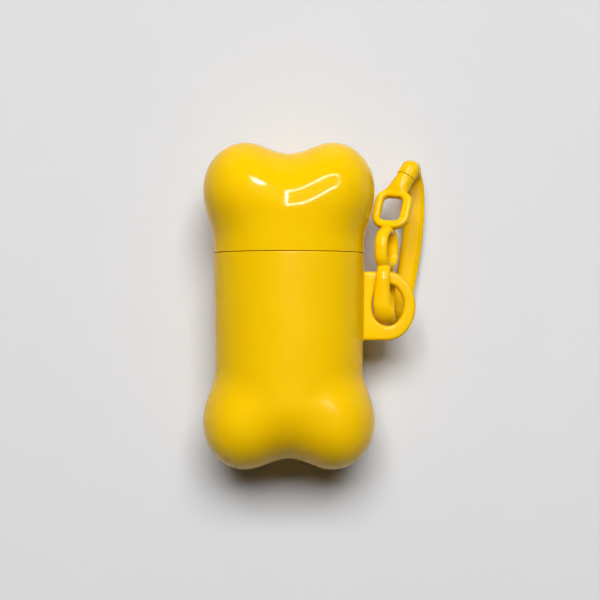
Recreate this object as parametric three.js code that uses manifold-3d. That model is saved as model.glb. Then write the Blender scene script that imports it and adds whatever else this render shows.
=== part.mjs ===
// A bone-shaped dispenser for a roll of dog waste bags, lying on its back, with its clip beside it.
// Millimetres. X points from the bone's axis to the tab, Y along the bone to the cap, and Z up.
// The bone's axis is modelled through zero. At the end the whole is set down with the middle of
// the bottom of its bounding box at the origin.

import * as THREE from "three";
import { mergeVertices } from "three/addons/utils/BufferGeometryUtils.js";
import Module from "manifold-3d";

const wasm = await Module();
wasm.setup();

const degrees = THREE.MathUtils.degToRad;

// Clearances and cutting
const FIT_GAP = 0.3; // between pieces that touch or slide
const OVERRUN = 2; // how far a cutter runs past what it cuts

// Roll of bags on its core: the bone is made to hold it
const ROLL_RADIUS = 15.2;
const ROLL_LENGTH = 56;
const ROLL_SPACE = 1.145; // between the roll and the bore, on each side
const ROLL_LAP = 0.35; // height of the step at the outer bag's loose end
const CORE_RADIUS = 6.6;
const CORE_WALL = 0.9;

// Bone: shells
const WALL = 2;
const CAP_SKIRT_LENGTH = 7.35; // from the cap's waist to the seam
const CAP_SKIRT_WALL = 1.5;
const NECK_WALL = 1.4;
const NECK_HEIGHT = 8;
const BEAD_HEIGHT = 0.15; // low ring on the neck that the cap's socket rides over
const BEAD_LENGTH = 1.2;

// Bone: the outer form. The lobes' centres lie past the roll's ends by the wall.
const BARREL_TAPER_SHARE = 1 / 70; // growth of the barrel's radius along the bone
const WAIST_INSET = 9; // from the lobes' centres to where they leave the barrel
const BARREL_END_INSET = 6; // from the lobes' centres to where the barrel rounds over
const BARREL_END_LENGTH = 15.4; // from there to the valley between two lobes
const LOBE_REACH = 2.65; // of the lobes past the barrel's side
const LOBE_RADIUS_X = 11;
const LOBE_RADIUS_Y = 12.4;
const LOBE_RADIUS_Z = 16.8;
const BLEND = 4; // width of the soft transition from barrel to lobe
const CORE_INSET = 4; // from the lobes' centres to the points that see all of each end

// Bag slot in the back of the barrel
const SLOT_WIDTH = 5.6;
const SLOT_SEAM_INSET = 3.65; // from the seam to the slot's end
const SLOT_WAIST_INSET = 3; // from the lower waist to the slot's other end
const SLOT_LIP = 0.8; // flare of the slot's mouth

// Tab on the barrel's side, with its oval hole, from the tab's middle
const TAB_DROP = 4.7; // from the seam to the tab's upper edge
const TAB_THICKNESS = 3.2;
const TAB_HALF_HEIGHT = 8.95;
const TAB_REACH = 3.1; // from the lobes' side to the centre of the tab's round end
const TAB_END_LENGTH = 7.45; // from there to the tip
const TAB_EDGE = 0.9; // rounding of the tab's edges
const TAB_HOLE_SHIFT_X = 0.26; // from the centre of the round end
const TAB_HOLE_SHIFT_Y = 0.3;
const TAB_HOLE_SPACE = 2.35; // from the ring's limb to the hole's side, with both centred
const TAB_BAR = 3.25; // from the hole to the tab's upper edge

// Swivel link, moulded in one: a ring through the tab, a second ring, a square eye and a neck
const LINK_INSET = 0.6; // of the lower ring, from the hole's middle towards the barrel
const LOWER_TURN = degrees(13); // of the lower ring's plane about Y, out of the upright
const UPPER_TURN = degrees(27);
const UPPER_SHIFT = 0.41; // of the upper ring along X, from the lower
const LIMB_WIDTH = 3.4; // square to the ring's plane
const LIMB_DEPTH = 2.4; // in the plane
const RING_SPACE = 1.3; // between the tab's faces and the ring round it
const LOWER_RING_LIFT = 0.95; // of the ring's lowest point over the hole's
const UPPER_RING_LENGTH = 8.85; // end to end of the centre line
const UPPER_RING_CORNER = 2.8; // centre-line radius of its corners
const EYE_OVERHANG = 4.01; // of the eye towards the bone, from the lower ring's middle
const EYE_WIDTH = 9.8;
const EYE_HEIGHT = 11.1;
const EYE_BAR = 2.1;
const EYE_DEPTH = 2.6;
const EYE_CORNER = 2.4; // centre-line radius of the eye's corners
const EYE_ALONG = new THREE.Vector3(0.9446, -0.111, 0.309); // direction of its level bars
const EYE_UP = new THREE.Vector3(0.2194, 0.9137, -0.342); // direction from the bottom bar to the top
const NECK_LEAN = degrees(18.5); // of the neck, in the eye's plane
const NECK_RADIUS = 2.25;
const NECK_LENGTH = 5.5; // from the top bar's centre line to the swivel's gap
const NECK_ROUNDING = 0.45;
const PIN_RADIUS = 0.95;
const PIN_HEAD_RADIUS = 1.55;
const PIN_HEAD_THICKNESS = 0.9;

// Hook: boss, crown and long arm
const BOSS_WALL = 0.75; // round the pin's head
const BOSS_LENGTH = 4.8; // along the pin, with the round end
const BOSS_LIP = 1; // the wall that holds the pin's head
const ARM_ROOT = 4.8; // thickness where the arm leaves the boss
const ARM_WIDTH = 5.5;
const ARM_DEPTH = 4;
const ARM_DROP = 11.3; // from the boss down to the arm's centre line
const ARM_LENGTH = 34.5; // along the bone
const ARM_TIP_LENGTH = 2.8; // rounded end of the arm
const ARM_SHOULDER_X = 3.1; // of the arm's upper end, from the swivel
const ARM_SHOULDER_Y = -2;
const ARM_BELLY_X = 4.4; // of the arm's middle, from the swivel
const ARM_BELLY_Y = -13.7;
const ARM_TIP_X = -1.4; // of the arm's tip, from the swivel

// Sections of bars and arms: 2 is an ellipse, and higher is squarer
const ROUND = 2;
const EYE_SQUARENESS = 3;
const ARM_SQUARENESS = 3.5;
const TIP_LEFT_SHARE = 0.22; // of the arm's section, at the very tip

// Facets
const SEGMENTS = 48; // round the bone
const TUBE_SIDES = 16;
const ARM_STEPS = 12; // along the crown, and again along the arm
const TIP_STEPS = 6;

// Colours
const YELLOW = 0xf7c409;
const CARDBOARD = 0xa98258;
const BAG = 0x2f8f4e;

// Geometry helpers

function solid(geometry) {
  const bare = geometry.clone();
  bare.deleteAttribute("normal");
  bare.deleteAttribute("uv");
  const merged = mergeVertices(bare);
  const mesh = new wasm.Mesh({
    numProp: 3,
    vertProperties: merged.attributes.position.array,
    triVerts: new Uint32Array(merged.index.array),
  });
  return new wasm.Manifold(mesh);
}

function geometryOf(body) {
  const mesh = body.getMesh();
  const geometry = new THREE.BufferGeometry();
  geometry.setAttribute("position", new THREE.BufferAttribute(mesh.vertProperties, 3));
  geometry.setIndex(new THREE.BufferAttribute(mesh.triVerts, 1));
  geometry.computeVertexNormals();
  return geometry;
}

// Joins rings of points into one skin. Ends are closed with a fan, or the last ring meets the first.
function skin(rings, closed) {
  const count = rings[0].length;
  const positions = rings.flat().flatMap((point) => point.toArray());
  const faces = [];
  const strips = closed ? rings.length : rings.length - 1;
  for (let i = 0; i < strips; i++) {
    const here = i * count;
    const next = ((i + 1) % rings.length) * count;
    for (let j = 0; j < count; j++) {
      const k = (j + 1) % count;
      faces.push(here + j, here + k, next + k);
      faces.push(here + j, next + k, next + j);
    }
  }
  if (!closed) {
    const last = (rings.length - 1) * count;
    for (let j = 1; j < count - 1; j++) {
      faces.push(0, j + 1, j);
      faces.push(last, last + j, last + j + 1);
    }
  }
  const geometry = new THREE.BufferGeometry();
  geometry.setAttribute("position", new THREE.Float32BufferAttribute(positions, 3));
  geometry.setIndex(faces);
  return geometry;
}

// Points of a rounded section.
function section(width, depth, squareness) {
  const power = ROUND / squareness;
  return Array.from({ length: TUBE_SIDES }, (_, i) => {
    const angle = ((i + 0.5) / TUBE_SIDES) * 2 * Math.PI;
    const across = Math.cos(angle);
    const up = Math.sin(angle);
    return new THREE.Vector2(
      (width / 2) * Math.sign(across) * Math.abs(across) ** power,
      (depth / 2) * Math.sign(up) * Math.abs(up) ** power,
    );
  });
}

// A closed ring of the given section along a flat loop. The section's width is square to the loop.
function ringAlong(loop, profile) {
  const rings = loop.map(({ point, outward }) =>
    profile.map(({ x, y }) =>
      new THREE.Vector3(point.x + outward.x * y, point.y + outward.y * y, x)),
  );
  return skin(rings, true);
}

// Centre line of a ring with round corners: width and height are those of the centre line.
function roundedLoop(width, height, radius, steps) {
  const corners = [[1, 1], [-1, 1], [-1, -1], [1, -1]];
  return corners.flatMap(([sideX, sideY], corner) =>
    Array.from({ length: steps + 1 }, (_, i) => {
      const angle = (corner + i / steps) * (Math.PI / 2);
      const outward = new THREE.Vector2(Math.cos(angle), Math.sin(angle));
      const centre = new THREE.Vector2(
        sideX * (width / 2 - radius),
        sideY * (height / 2 - radius),
      );
      return { outward, point: centre.addScaledVector(outward, radius) };
    }),
  );
}

function revolve(profile) {
  const points = profile.map(([radius, height]) => new THREE.Vector2(radius, height));
  return new THREE.LatheGeometry(points, SEGMENTS / 2);
}

// A round bar along Y, from one height to another.
function bar(radius, low, high) {
  return new THREE.CylinderGeometry(radius, radius, high - low, SEGMENTS)
    .translate(0, (high + low) / 2, 0);
}

// The bone's form, round the roll and its ends

const lobeY = ROLL_LENGTH / 2 + WALL;
const waistY = lobeY - WAIST_INSET;
const barrelEndY = lobeY - BARREL_END_INSET;
const coreY = lobeY - CORE_INSET;
const seamY = waistY - CAP_SKIRT_LENGTH;
const boreRadius = ROLL_RADIUS + ROLL_SPACE;
const neckRadius = boreRadius + NECK_WALL;
const seamRadius = neckRadius + FIT_GAP + CAP_SKIRT_WALL;
const lobeSide = barrelRadius(waistY) + LOBE_REACH;
const lobeX = lobeSide - LOBE_RADIUS_X;

function barrelRadius(y) {
  const along = THREE.MathUtils.clamp(y, -waistY, waistY) - seamY;
  return seamRadius + along * BARREL_TAPER_SHARE;
}

function ellipsoidDistance(point, centre, radii) {
  const scaled = point.clone().sub(centre).divide(radii);
  const steep = scaled.clone().divide(radii);
  return (scaled.length() * (scaled.length() - 1)) / steep.length();
}

function barrelDistance(point) {
  const radius = barrelRadius(point.y);
  if (Math.abs(point.y) <= barrelEndY) return Math.hypot(point.x, point.z) - radius;
  const centre = new THREE.Vector3(0, Math.sign(point.y) * barrelEndY, 0);
  return ellipsoidDistance(point, centre, new THREE.Vector3(radius, BARREL_END_LENGTH, radius));
}

function softUnion(a, b) {
  const mix = Math.max(BLEND - Math.abs(a - b), 0) / BLEND;
  return Math.min(a, b) - (mix * mix * BLEND) / 4;
}

const LOBE_RADII = new THREE.Vector3(LOBE_RADIUS_X, LOBE_RADIUS_Y, LOBE_RADIUS_Z);

// Distance from the bone's surface, negative inside it.
function boneDistance(point) {
  const y = Math.sign(point.y) * lobeY;
  return [-lobeX, lobeX].reduce(
    (found, x) =>
      softUnion(found, ellipsoidDistance(point, new THREE.Vector3(x, y, 0), LOBE_RADII)),
    barrelDistance(point),
  );
}

// The point on a ray that lies the given depth under the bone's surface.
function surfacePoint(start, direction, depth) {
  let near = 0;
  let far = lobeX + lobeY;
  for (let i = 0; i < 40; i++) {
    const middle = (near + far) / 2;
    const point = start.clone().addScaledVector(direction, middle);
    if (boneDistance(point) < -depth) near = middle;
    else far = middle;
  }
  return start.clone().addScaledVector(direction, near);
}

// The whole bone, or the bone inset by a wall: rays from the axis meet the surface in rings.
function boneForm(depth, segments, endSteps, waistSteps) {
  const stations = [];
  for (let i = 1; i <= endSteps; i++)
    stations.push({ y: coreY, tilt: (i / endSteps) * (Math.PI / 2) });
  const low = 2 * waistY - coreY;
  for (let i = 1; i <= waistSteps; i++)
    stations.push({ y: THREE.MathUtils.lerp(coreY, low, i / waistSteps), tilt: Math.PI / 2 });
  const mirrored = stations.map(({ y, tilt }) => ({ y: -y, tilt: Math.PI - tilt })).reverse();
  const rings = [...stations, ...mirrored].map(({ y, tilt }) =>
    Array.from({ length: segments }, (_, j) => {
      const angle = (j / segments) * 2 * Math.PI;
      const outward = Math.sin(tilt);
      const direction = new THREE.Vector3(
        outward * Math.cos(angle),
        Math.cos(tilt),
        outward * Math.sin(angle),
      );
      return surfacePoint(new THREE.Vector3(0, y, 0), direction, depth);
    }),
  );
  const pole = (side) =>
    surfacePoint(new THREE.Vector3(0, side * coreY, 0), new THREE.Vector3(0, side, 0), depth);
  return capped(rings, pole(1), pole(-1));
}

// A skin whose ends are closed with a cone to a single point.
function capped(rings, first, last) {
  const count = rings[0].length;
  const repeat = (point) => Array.from({ length: count }, () => point.clone());
  const open = skin([repeat(first), ...rings, repeat(last)], false);
  const merged = mergeVertices(open);
  const index = Array.from(merged.index.array);
  const kept = [];
  for (let i = 0; i < index.length; i += 3) {
    const [a, b, c] = index.slice(i, i + 3);
    if (a !== b && b !== c && c !== a) kept.push(a, b, c);
  }
  merged.setIndex(kept);
  return merged;
}

// Shells

const neckTop = seamY + NECK_HEIGHT;
const farX = lobeSide + OVERRUN;
const farY = lobeY + LOBE_RADIUS_Y + OVERRUN;

const bone = solid(boneForm(0, SEGMENTS, 12, 8));
const chamber = solid(boneForm(WALL, SEGMENTS, 9, 5))
  .intersect(solid(bar(boreRadius, -farY, farY)));

const tabY = seamY - TAB_DROP - TAB_HALF_HEIGHT;
const tabEndX = lobeSide + TAB_REACH;
const tabHoleX = tabEndX + TAB_HOLE_SHIFT_X;
const tabHoleRadiusX = LIMB_WIDTH / 2 + TAB_HOLE_SPACE;
const tabHoleRadiusY = TAB_HALF_HEIGHT - TAB_BAR - TAB_HOLE_SHIFT_Y;

function tab() {
  const outline = new THREE.Shape();
  const rootX = (boreRadius + barrelRadius(tabY)) / 2;
  outline.moveTo(rootX, -TAB_HALF_HEIGHT);
  outline.lineTo(tabEndX, -TAB_HALF_HEIGHT);
  outline.absellipse(
    tabEndX, 0, TAB_END_LENGTH, TAB_HALF_HEIGHT, -Math.PI / 2, Math.PI / 2, false);
  outline.lineTo(rootX, TAB_HALF_HEIGHT);
  outline.closePath();
  const hole = new THREE.Path();
  hole.absellipse(
    tabHoleX, TAB_HOLE_SHIFT_Y, tabHoleRadiusX, tabHoleRadiusY, 0, 2 * Math.PI, true);
  outline.holes.push(hole);
  const geometry = new THREE.ExtrudeGeometry(outline, {
    depth: TAB_THICKNESS - 2 * TAB_EDGE,
    bevelThickness: TAB_EDGE,
    bevelSize: TAB_EDGE,
    bevelOffset: -TAB_EDGE,
    bevelSegments: 4,
    curveSegments: SEGMENTS / 3,
  });
  return solid(geometry.translate(0, tabY, TAB_EDGE - TAB_THICKNESS / 2));
}

function stadium(width, length) {
  const shape = new THREE.Shape();
  const straight = (length - width) / 2;
  shape.absarc(0, straight, width / 2, 0, Math.PI, false);
  shape.absarc(0, -straight, width / 2, Math.PI, 2 * Math.PI, false);
  shape.closePath();
  return shape;
}

// Cuts the bag slot through the back wall, flared where it meets the outside.
function slotCutter() {
  const high = seamY - SLOT_SEAM_INSET;
  const low = SLOT_WAIST_INSET - waistY;
  const slotY = (high + low) / 2;
  const back = -seamRadius - OVERRUN;
  const through = new THREE.ExtrudeGeometry(stadium(SLOT_WIDTH, high - low), {
    depth: -boreRadius / 2 - back,
    bevelEnabled: false,
    curveSegments: SEGMENTS / 4,
  });
  through.translate(0, slotY, back);
  const flare = new THREE.ExtrudeGeometry(stadium(SLOT_WIDTH, high - low), {
    depth: OVERRUN,
    bevelThickness: SLOT_LIP,
    bevelSize: SLOT_LIP,
    bevelSegments: 3,
    curveSegments: SEGMENTS / 4,
  });
  flare.translate(0, slotY, -barrelRadius(slotY) - OVERRUN);
  return solid(through).add(solid(flare));
}

function bodyShell() {
  const below = solid(bar(farX, -farY, seamY - FIT_GAP / 2));
  const bead = revolve([
    [boreRadius, neckTop - 2 * BEAD_LENGTH],
    [neckRadius, neckTop - 2 * BEAD_LENGTH],
    [neckRadius + BEAD_HEIGHT, neckTop - 1.5 * BEAD_LENGTH],
    [neckRadius, neckTop - BEAD_LENGTH],
    [boreRadius, neckTop - BEAD_LENGTH],
    [boreRadius, neckTop - 2 * BEAD_LENGTH],
  ]);
  const neckEdge = NECK_WALL / 3;
  const neck = revolve([
    [0, seamY - OVERRUN],
    [neckRadius, seamY - OVERRUN],
    [neckRadius, neckTop - neckEdge],
    [neckRadius - neckEdge, neckTop],
    [0, neckTop],
  ]);
  return bone
    .intersect(below)
    .add(solid(neck))
    .add(solid(bead))
    .add(tab())
    .subtract(chamber)
    .subtract(slotCutter());
}

function cap() {
  const above = solid(bar(farX, seamY + FIT_GAP / 2, farY));
  const socket = bar(neckRadius + FIT_GAP, seamY - OVERRUN, neckTop + FIT_GAP);
  return bone.intersect(above).subtract(solid(socket)).subtract(chamber);
}

// Roll of bags: its outer bag ends in a low step, as on a wound roll

const rollDrop = boreRadius - FIT_GAP - ROLL_RADIUS; // the roll lies on the bore's floor
const rollFloor = new THREE.Vector3(0, 0, FIT_GAP - boreRadius);
const rollLow = surfacePoint(rollFloor, new THREE.Vector3(0, -1, 0), WALL + FIT_GAP).y;

function rollOutline() {
  const turns = Array.from({ length: SEGMENTS + 1 }, (_, i) => {
    const angle = (i / SEGMENTS) * 2 * Math.PI;
    const radius = ROLL_RADIUS - ROLL_LAP * (i / SEGMENTS);
    return new THREE.Vector2(radius * Math.cos(angle), radius * Math.sin(angle));
  });
  const shape = new THREE.Shape(turns);
  const hole = new THREE.Path();
  hole.absarc(0, 0, CORE_RADIUS + FIT_GAP, 0, 2 * Math.PI, true);
  shape.holes.push(hole);
  return shape;
}

function bagRoll() {
  const geometry = new THREE.ExtrudeGeometry(rollOutline(), {
    depth: ROLL_LENGTH,
    bevelEnabled: false,
    curveSegments: SEGMENTS / 2,
  });
  return geometry.rotateX(-Math.PI / 2);
}

function rollCore() {
  return revolve([
    [CORE_RADIUS - CORE_WALL, 0],
    [CORE_RADIUS, 0],
    [CORE_RADIUS, ROLL_LENGTH],
    [CORE_RADIUS - CORE_WALL, ROLL_LENGTH],
    [CORE_RADIUS - CORE_WALL, 0],
  ]);
}

// Swivel link, from the lower ring's middle, level with the tab's middle

const ringRadius = (TAB_THICKNESS + LIMB_DEPTH) / 2 + RING_SPACE;
const holeBottom = TAB_HOLE_SHIFT_Y - tabHoleRadiusY;
const lowerRingBottom = holeBottom + LOWER_RING_LIFT + LIMB_DEPTH / 2;
// Both rings' centre lines meet above the tab's rounded edge.
const ringJoin = TAB_HALF_HEIGHT + FIT_GAP + (LIMB_DEPTH + TAB_EDGE / 2) / 2;
const upperRingTop = ringJoin + UPPER_RING_LENGTH;

// A ring in a plane that holds the Y axis, turned about it out of the upright.
function linkRing(low, high, corner, turn) {
  const profile = section(LIMB_WIDTH, LIMB_DEPTH, ROUND);
  const loop = roundedLoop(2 * ringRadius, high - low, corner, 8);
  return ringAlong(loop, profile)
    .translate(0, (high + low) / 2, 0)
    .rotateY(Math.PI / 2 - turn);
}

// The eye's own frame: its bottom bar's middle at zero, X along the bar, Y up the eye. The bar
// grows out of the upper ring's top.
const eyeTopY = EYE_HEIGHT - EYE_BAR;
const eyeNormal = new THREE.Vector3().crossVectors(EYE_ALONG, EYE_UP);
const eyeFrame = new THREE.Matrix4()
  .makeBasis(EYE_ALONG, EYE_UP, eyeNormal)
  .setPosition(EYE_WIDTH / 2 - EYE_OVERHANG, upperRingTop + 0.75 * EYE_BAR, 0);
const neckAxis = new THREE.Vector3(Math.sin(NECK_LEAN), Math.cos(NECK_LEAN), 0)
  .transformDirection(eyeFrame);
const swivel = new THREE.Vector3(0, eyeTopY, 0)
  .applyMatrix4(eyeFrame)
  .addScaledVector(neckAxis, NECK_LENGTH);
const pinHeadLow = FIT_GAP / 2 + BOSS_LIP + FIT_GAP;
const pinHeadHigh = pinHeadLow + PIN_HEAD_THICKNESS;

// Sets a form that is revolved about Y, with its zero at the swivel's gap, onto the neck's axis.
function ontoNeckAxis(geometry) {
  const across = new THREE.Vector3().crossVectors(neckAxis, eyeNormal);
  const frame = new THREE.Matrix4().makeBasis(across, neckAxis, eyeNormal);
  return geometry.applyMatrix4(frame.setPosition(swivel));
}

function neckAndPin() {
  const face = -FIT_GAP / 2;
  return ontoNeckAxis(revolve([
    [0, -NECK_LENGTH],
    [NECK_RADIUS - NECK_ROUNDING, -NECK_LENGTH],
    [NECK_RADIUS, face - NECK_LENGTH / 2],
    [NECK_RADIUS, face - NECK_ROUNDING],
    [NECK_RADIUS - NECK_ROUNDING, face],
    [PIN_RADIUS, face],
    [PIN_RADIUS, pinHeadLow],
    [PIN_HEAD_RADIUS, pinHeadLow],
    [PIN_HEAD_RADIUS, (pinHeadLow + pinHeadHigh) / 2],
    [PIN_RADIUS, pinHeadHigh],
    [0, pinHeadHigh],
  ]));
}

function swivelLink() {
  const lower = linkRing(lowerRingBottom, ringJoin, ringRadius, LOWER_TURN);
  const upper = linkRing(ringJoin, upperRingTop, UPPER_RING_CORNER, UPPER_TURN);
  upper.translate(UPPER_SHIFT, 0, 0);
  const profile = section(EYE_DEPTH, EYE_BAR, EYE_SQUARENESS);
  const loop = roundedLoop(EYE_WIDTH - EYE_BAR, eyeTopY, EYE_CORNER, 5);
  const eye = ringAlong(loop, profile).translate(0, eyeTopY / 2, 0).applyMatrix4(eyeFrame);
  return solid(lower).add(solid(upper)).add(solid(eye)).add(solid(neckAndPin()));
}

// Hook, from the same point as the link

const bossRadius = PIN_HEAD_RADIUS + FIT_GAP + BOSS_WALL;

function boss() {
  const round = [];
  const steps = 6;
  for (let i = 0; i <= steps; i++) {
    const angle = (i / steps) * (Math.PI / 2);
    const height = BOSS_LENGTH - bossRadius + bossRadius * Math.sin(angle);
    round.push([i === steps ? 0 : bossRadius * Math.cos(angle), height]);
  }
  return revolve([
    [0, FIT_GAP / 2],
    [bossRadius - NECK_ROUNDING, FIT_GAP / 2],
    [bossRadius, FIT_GAP / 2 + NECK_ROUNDING],
    ...round,
  ]);
}

function pinSeat() {
  const low = FIT_GAP / 2 + BOSS_LIP;
  return revolve([
    [0, -FIT_GAP],
    [PIN_RADIUS + FIT_GAP, -FIT_GAP],
    [PIN_RADIUS + FIT_GAP, low],
    [PIN_HEAD_RADIUS + FIT_GAP, low],
    [PIN_HEAD_RADIUS + FIT_GAP, (pinHeadLow + pinHeadHigh) / 2 + FIT_GAP / 2],
    [PIN_RADIUS + FIT_GAP, pinHeadHigh + FIT_GAP],
    [0, pinHeadHigh + FIT_GAP],
  ]);
}

// The arm's centre line: down from the boss, round the crown, and back along the bone.
function armPath() {
  const start = swivel.clone().addScaledVector(neckAxis, BOSS_LENGTH - bossRadius);
  const level = start.z - ARM_DROP;
  const shoulderY = swivel.y + ARM_SHOULDER_Y;
  const shoulder = new THREE.Vector3(swivel.x + ARM_SHOULDER_X, shoulderY, level);
  const belly = new THREE.Vector3(swivel.x + ARM_BELLY_X, swivel.y + ARM_BELLY_Y, level);
  const tip = new THREE.Vector3(swivel.x + ARM_TIP_X, shoulderY - ARM_LENGTH, level);
  const pull = ARM_DROP / 2;
  const crown = new THREE.CubicBezierCurve3(
    start,
    start.clone().add(new THREE.Vector3(ARM_WIDTH / 8, ARM_WIDTH / 4, -pull)),
    shoulder.clone().addScaledVector(belly.clone().sub(shoulder).normalize(), -pull),
    shoulder,
  );
  const arm = new THREE.QuadraticBezierCurve3(shoulder, belly, tip);
  return { crown, arm };
}

// Sections along a curve stand square to it, with their flats facing the bone's front and back.
function sectionsAlong(curve, shares, sizes) {
  return shares.map((share) => {
    const point = curve.getPointAt(share);
    const along = curve.getTangentAt(share);
    const across = new THREE.Vector3(-1, 0, 0);
    across.addScaledVector(along, -across.dot(along)).normalize();
    const up = new THREE.Vector3().crossVectors(along, across);
    const { width, depth, squareness } = sizes(share);
    return section(width, depth, squareness).map(({ x, y }) =>
      point.clone().addScaledVector(across, x).addScaledVector(up, y));
  });
}

function hook() {
  const { crown, arm } = armPath();
  const { lerp } = THREE.MathUtils;
  const crownShares = Array.from({ length: ARM_STEPS + 1 }, (_, i) => i / ARM_STEPS);
  const crownRings = sectionsAlong(crown, crownShares, (share) => ({
    width: lerp(ARM_ROOT, ARM_WIDTH, share),
    depth: lerp(ARM_ROOT, ARM_DEPTH, share),
    squareness: lerp(ROUND, ARM_SQUARENESS, share),
  }));
  const tipStart = 1 - ARM_TIP_LENGTH / arm.getLength();
  const straightShares = Array.from(
    { length: ARM_STEPS }, (_, i) => ((i + 1) / ARM_STEPS) * tipStart);
  const tipShares = Array.from({ length: TIP_STEPS }, (_, i) =>
    lerp(tipStart, 1, Math.sin(((i + 1) / TIP_STEPS) * (Math.PI / 2))));
  const armRings = sectionsAlong(arm, [...straightShares, ...tipShares], (share) => {
    const past = Math.max((share - tipStart) / (1 - tipStart), 0);
    const left = Math.max(Math.sqrt(1 - past * past), TIP_LEFT_SHARE);
    return { width: ARM_WIDTH * left, depth: ARM_DEPTH * left, squareness: ARM_SQUARENESS };
  });
  const body = solid(skin([...crownRings, ...armRings], false));
  return body.add(solid(ontoNeckAxis(boss()))).subtract(solid(ontoNeckAxis(pinSeat())));
}

// Assembly

function plastic(colour) {
  return new THREE.MeshStandardMaterial({ color: colour, roughness: 0.18, metalness: 0 });
}

function named(name, geometry, material) {
  const mesh = new THREE.Mesh(geometry, material);
  mesh.name = name;
  return mesh;
}

const group = new THREE.Group();
const dispenser = new THREE.Group();
group.add(dispenser);

dispenser.add(named("body_shell", geometryOf(bodyShell()), plastic(YELLOW)));
dispenser.add(named("cap", geometryOf(cap()), plastic(YELLOW)));

const roll = new THREE.Group();
roll.name = "roll_pivot";
roll.position.set(0, rollLow, -rollDrop);
const bagMaterial = new THREE.MeshStandardMaterial({ color: BAG, roughness: 0.45, metalness: 0 });
const coreMaterial = new THREE.MeshStandardMaterial({
  color: CARDBOARD,
  roughness: 0.9,
  metalness: 0,
});
roll.add(named("bag_roll", bagRoll(), bagMaterial));
roll.add(named("roll_core", rollCore(), coreMaterial));
dispenser.add(roll);

const link = new THREE.Group();
link.name = "link_pivot";
link.position.set(tabHoleX - LINK_INSET, tabY, 0);
link.add(named("swivel_link", geometryOf(swivelLink()), plastic(YELLOW)));
link.add(named("hook", geometryOf(hook()), plastic(YELLOW)));
dispenser.add(link);

// Set the whole down with the middle of its underside at the origin
const box = new THREE.Box3().setFromObject(dispenser);
const middle = box.getCenter(new THREE.Vector3());
dispenser.position.set(-middle.x, -middle.y, -box.min.z);

export default group;
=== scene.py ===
"""A bone-shaped dispenser of dog waste bags on a pale floor, seen from straight above.

Lengths are millimetres in the bone's own frame until a piece is finished, and metres after that.
The link and the hook are built round the Y axis first, and are then moved to LINK_X.
"""

import math

import bmesh
import bpy
import numpy as np
from mathutils import Matrix, Vector

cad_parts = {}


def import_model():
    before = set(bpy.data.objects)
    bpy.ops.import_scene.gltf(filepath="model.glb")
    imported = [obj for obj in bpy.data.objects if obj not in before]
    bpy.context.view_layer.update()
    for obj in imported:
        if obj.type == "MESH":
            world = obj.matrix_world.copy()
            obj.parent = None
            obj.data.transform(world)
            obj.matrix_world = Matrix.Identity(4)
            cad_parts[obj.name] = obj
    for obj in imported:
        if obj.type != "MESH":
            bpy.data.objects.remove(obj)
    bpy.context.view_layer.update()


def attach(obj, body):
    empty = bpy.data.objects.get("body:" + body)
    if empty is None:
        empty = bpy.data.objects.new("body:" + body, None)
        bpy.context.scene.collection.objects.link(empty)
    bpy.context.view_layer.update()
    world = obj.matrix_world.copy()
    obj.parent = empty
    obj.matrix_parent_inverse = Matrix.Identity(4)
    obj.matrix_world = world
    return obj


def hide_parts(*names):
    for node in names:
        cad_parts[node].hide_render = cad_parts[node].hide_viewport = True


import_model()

MILLIMETRE = 0.001
BONE_ORIGIN = np.array([-7.2444, 0.0, 19.65])  # of the bone's frame, in the part's frame
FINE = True

# Clearances
FIT_GAP = 0.3
OVERRUN = 2.0  # of the slot's cutter past the back

# Bone: the outer form
BARREL_RADIUS_TOP = 19.65  # above WAIST_Y
BARREL_RADIUS_LOW = 19.05  # as far below the middle
WAIST_Y = 21.0
BARREL_END_Y = 24.0
BARREL_END_LENGTH = 15.4
LOBE_X = 11.3
LOBE_Y = 30.0
LOBE_RADII = np.array([10.97, 12.32, 16.8])
BLEND = 4.0
FRONT_BLEND = 6.0  # the transition is wider on the front and back
CORE_Y = 26.0  # an end's surface is found by rays from here on the axis

# Bone: shells
WALL = 2.0
SEAM_Y = 13.65
CAP_SKIRT_WALL = 1.5
NECK_WALL = 1.4
NECK_HEIGHT = 8.0
BEAD_HEIGHT = 0.15
BEAD_LENGTH = 1.2
BEAD_DROP = 1.5 * BEAD_LENGTH  # from the neck's edge to the bead's middle
SEAM_GAP = 0.16  # as it looks from outside
RIM_ROUNDING = 0.14  # of the edges that meet at the seam
INNER_ROUNDING = 0.3  # of the edges inside

# Bag slot
SLOT_WIDTH = 5.6
SLOT_LENGTH = 28.0
SLOT_Y = -4.0
SLOT_LIP = 0.8

# Roll of bags
ROLL_RADIUS = 15.2
ROLL_LENGTH = 56.0
ROLL_LAP = 0.35  # height of the step where the outer bag ends
ROLL_RIM = 0.2  # rounding of the roll's edge
ROLL_EDGE = 0.15  # from the roll's end to its outermost ring
CORE_RADIUS = 6.6
CORE_WALL = 0.9
WOUND_TURNS = 22
TURN_DEPTHS = (0.02, 0.45)  # how far the turns' edges are sunk, least and most
TURN_GROOVE = 0.1  # between two turns
TURN_FLAT = (0.3, 0.7)  # the flat part of a turn's edge
RIPPLE_HEIGHT = 0.03
RIPPLE_SINK = 0.1
RIPPLES = ((5, 0.3), (11, -0.5), (3, 0.9))  # waves round the roll, radians a millimetre along it
ROLL_SEED = 7

# Tab
TAB_THICKNESS = 3.2
TAB_HALF_HEIGHT = 8.95
TAB_END_X = 25.4
TAB_END_LENGTH = 7.45
TAB_EDGE = 0.9
TAB_HOLE_X = 25.66
TAB_HOLE_Y = 0.3
TAB_HOLE_RADIUS_X = 4.05
TAB_HOLE_RADIUS_Y = 5.4
TAB_CORNER = 1.2  # rounding of its root's corners, which lie inside the wall
TAB_FILLET = 0.45

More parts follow.
